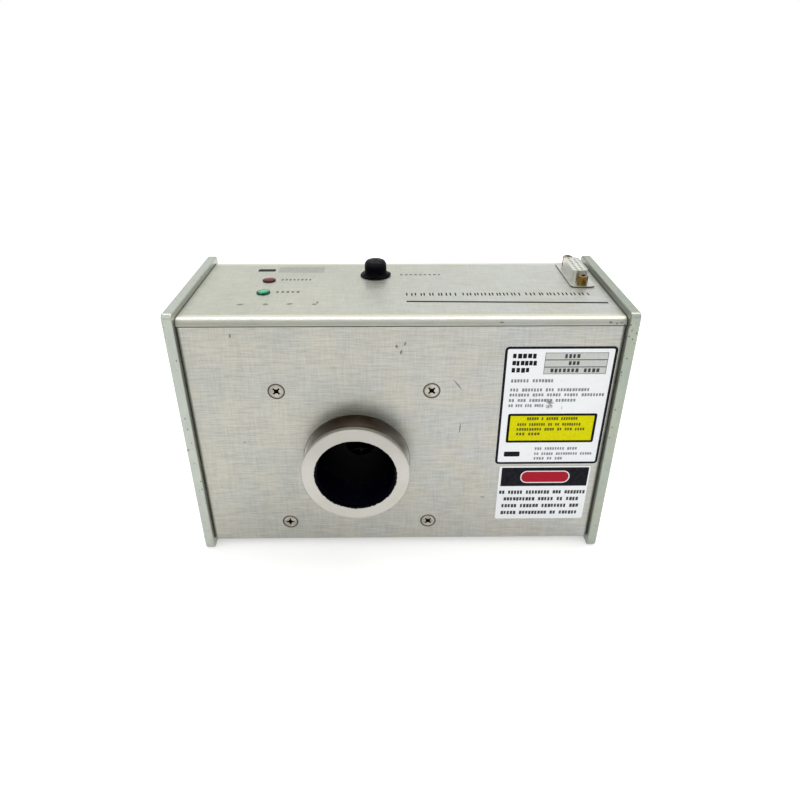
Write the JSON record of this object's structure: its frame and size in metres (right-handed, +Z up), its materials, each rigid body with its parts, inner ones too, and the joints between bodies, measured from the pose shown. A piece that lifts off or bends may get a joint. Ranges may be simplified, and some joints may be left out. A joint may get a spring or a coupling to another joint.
{
  "type": "vacuum line particle detector",
  "caption": "Box-shaped aluminium particle detector with proud end plates, a clamp-flange port front and rear, indicators, a capped socket and a D connector on top.",
  "frame": {"origin": "middle of the footprint, on the surface that the end plates stand on", "axes": "+X to the right of someone facing the front port, +Y towards the rear port, +Z up"},
  "size_m": [0.22, 0.1126, 0.147],
  "materials": {
    "case_sheet": "brushed, grain along X",
    "cover_sheet": "satin, clear anodised",
    "end_plate": "satin, clear anodised",
    "flange_steel": "turned, bore blackened",
    "dark_anodised": "matt black anodised",
    "bronze_anodised": "bronze anodised",
    "screw_steel": "bright zinc",
    "seal_rubber": "matt",
    "optical_glass": "clear, polished",
    "mirror_glass": "polished",
    "can_gold": "gold flash",
    "post_brass": "yellow passivated",
    "tin_shell": "tin plated",
    "body_plastic": "moulded",
    "black_plastic": "moulded",
    "red_lens": "translucent",
    "green_lens": "translucent",
    "board": "solder resist",
    "ribbon_grey": "ribbed",
    "cap_rubber": "soft, slightly shiny",
    "label_white": "printed foil"
  },
  "bodies": {
    "case": {"beam_stop": "dark_anodised", "board_header": "black_plastic", "board_screws": "screw_steel", "board_standoffs": "screw_steel", "capacitors": "black_plastic", "chassis": "case_sheet", "clinch_nuts": "screw_steel", "collecting_lens": "optical_glass", "collecting_mirror": "mirror_glass", "collimating_lens": "optical_glass", "cover_brackets": "case_sheet", "data_label": "label_white", "detector_housing": "dark_anodised", "dsub_body": "body_plastic", "dsub_contacts": "can_gold", "dsub_shell": "tin_shell", "end_plate_left": "end_plate", "end_plate_right": "end_plate", "end_plate_screws": "screw_steel", "front_casing_screws": "screw_steel", "front_flange": "flange_steel", "front_port_plate": "bronze_anodised", "front_port_seal": "seal_rubber", "green_lamp": "green_lens", "green_lens": "green_lens", "jack_nuts": "screw_steel", "jack_posts": "post_brass", "large_seals": "seal_rubber", "laser_diode": "can_gold", "laser_housing": "dark_anodised", "laser_window": "optical_glass", "lens_clips": "screw_steel", "lens_rings": "dark_anodised", "logic_chips": "black_plastic", "lower_label": "label_white", "main_board": "board", "mirror_cover": "dark_anodised", "optics_screws": "screw_steel", "photodiode": "can_gold", "port_plate_screws": "screw_steel", "power_converter": "dark_anodised", "preamp_board": "board", "preamp_chips": "black_plastic", "preamp_studs": "screw_steel", "rear_casing_screws": "screw_steel", "rear_flange": "flange_steel", "rear_port_plate": "bronze_anodised", "rear_port_seal": "seal_rubber", "red_lamp": "red_lens", "red_lens": "red_lens", "ribbon_lead": "ribbon_grey", "sensor_block": "dark_anodised", "small_seals": "seal_rubber", "socket_insert": "black_plastic", "socket_nut": "screw_steel", "socket_pins": "can_gold", "socket_shell": "screw_steel", "top_cover": "cover_sheet"},
    "cap": {"dust_cap": "cap_rubber"}
  },
  "joints": [
    {"name": "cap_lift", "type": "slide", "parent": "case", "child": "cap", "axis": [0, 0, 1], "range_m": [0, 0.012]}
  ]
}
